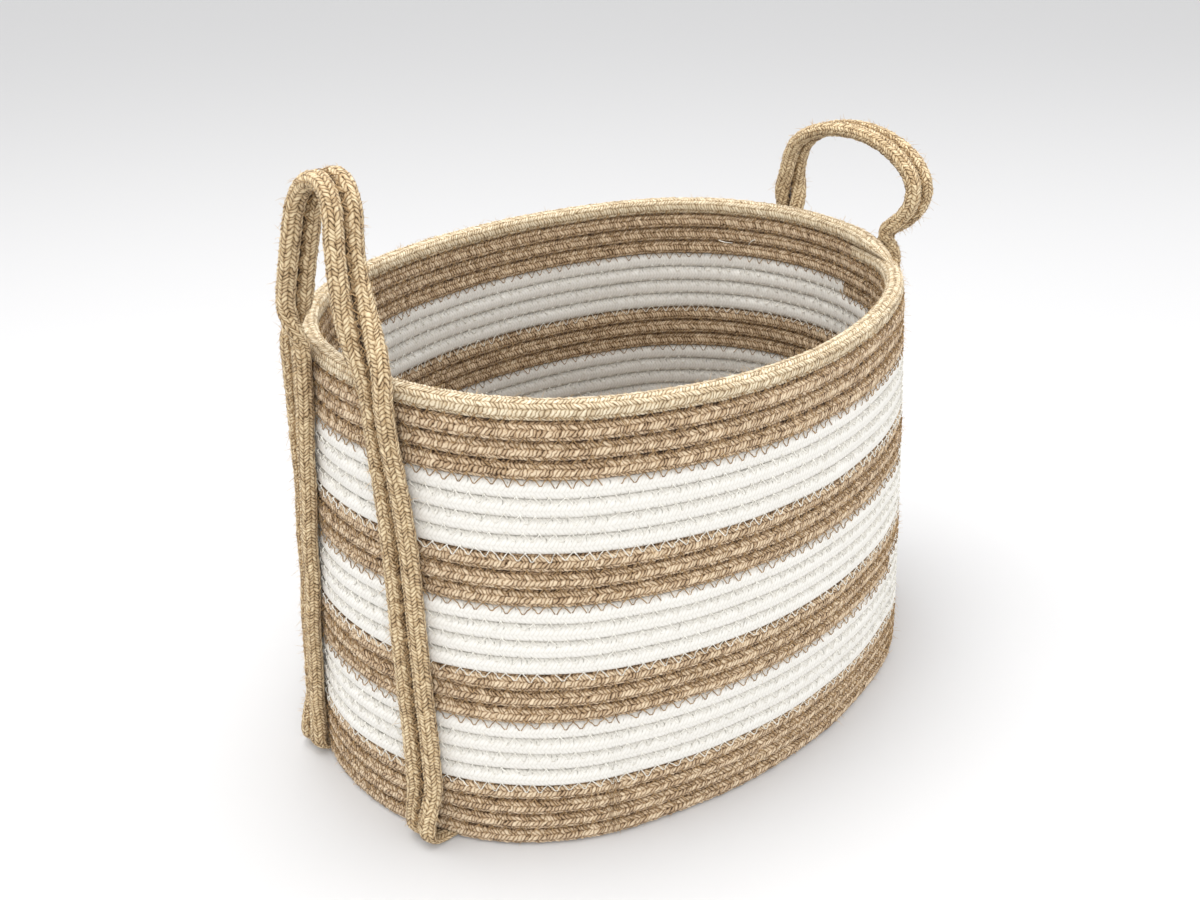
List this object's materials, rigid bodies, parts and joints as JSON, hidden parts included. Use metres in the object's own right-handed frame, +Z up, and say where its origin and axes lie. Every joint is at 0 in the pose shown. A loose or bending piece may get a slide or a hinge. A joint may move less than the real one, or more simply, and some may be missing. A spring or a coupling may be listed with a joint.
{
  "type": "laundry basket",
  "caption": "Oval open basket of sewn jute and cotton rope in bands, with a two-rope carrying loop at each end.",
  "frame": {"origin": "centre of the footprint, on the floor under the base", "axes": "+Z up, +X along the basket from the left handle to the right handle, +Y across it, towards the back"},
  "size_m": [0.4038, 0.2898, 0.3468],
  "materials": {
    "jute_rope": "matt braided jute",
    "jute_handle": "matt braided jute, paler where it catches the light",
    "cotton_rope": "matt braided cotton",
    "tan_thread": "twisted sewing thread",
    "white_thread": "twisted sewing thread"
  },
  "bodies": {
    "basket": {"base_coil": "jute_rope", "jute_band_bottom": "jute_rope", "cotton_band_lower": "cotton_rope", "jute_band_lower": "jute_rope", "cotton_band_middle": "cotton_rope", "jute_band_upper": "jute_rope", "cotton_band_upper": "cotton_rope", "jute_band_top": "jute_rope", "rim_course": "jute_rope", "seam_thread_tan": "tan_thread", "seam_thread_white": "white_thread", "left_front_strap": "jute_handle", "left_back_strap": "jute_handle", "right_front_strap": "jute_handle", "right_back_strap": "jute_handle", "left_strap_thread": "tan_thread", "right_strap_thread": "tan_thread"},
    "left_handle": {"left_loop_inner_rope": "jute_handle", "left_loop_outer_rope": "jute_handle", "left_loop_thread": "tan_thread"},
    "right_handle": {"right_loop_inner_rope": "jute_handle", "right_loop_outer_rope": "jute_handle", "right_loop_thread": "tan_thread"}
  },
  "joints": [
    {"name": "left_handle_fold", "type": "hinge", "parent": "basket", "child": "left_handle", "pos_m": [-0.18748, -0.005, 0.259], "axis": [0.0344, -0.9994, 0], "range_deg": [-75, 100], "stiffness_Nm_per_rad": 0.08},
    {"name": "right_handle_fold", "type": "hinge", "parent": "basket", "child": "right_handle", "pos_m": [0.18453, -0.012, 0.259], "axis": [0.0877, 0.9961, 0], "range_deg": [-75, 100], "stiffness_Nm_per_rad": 0.08}
  ]
}
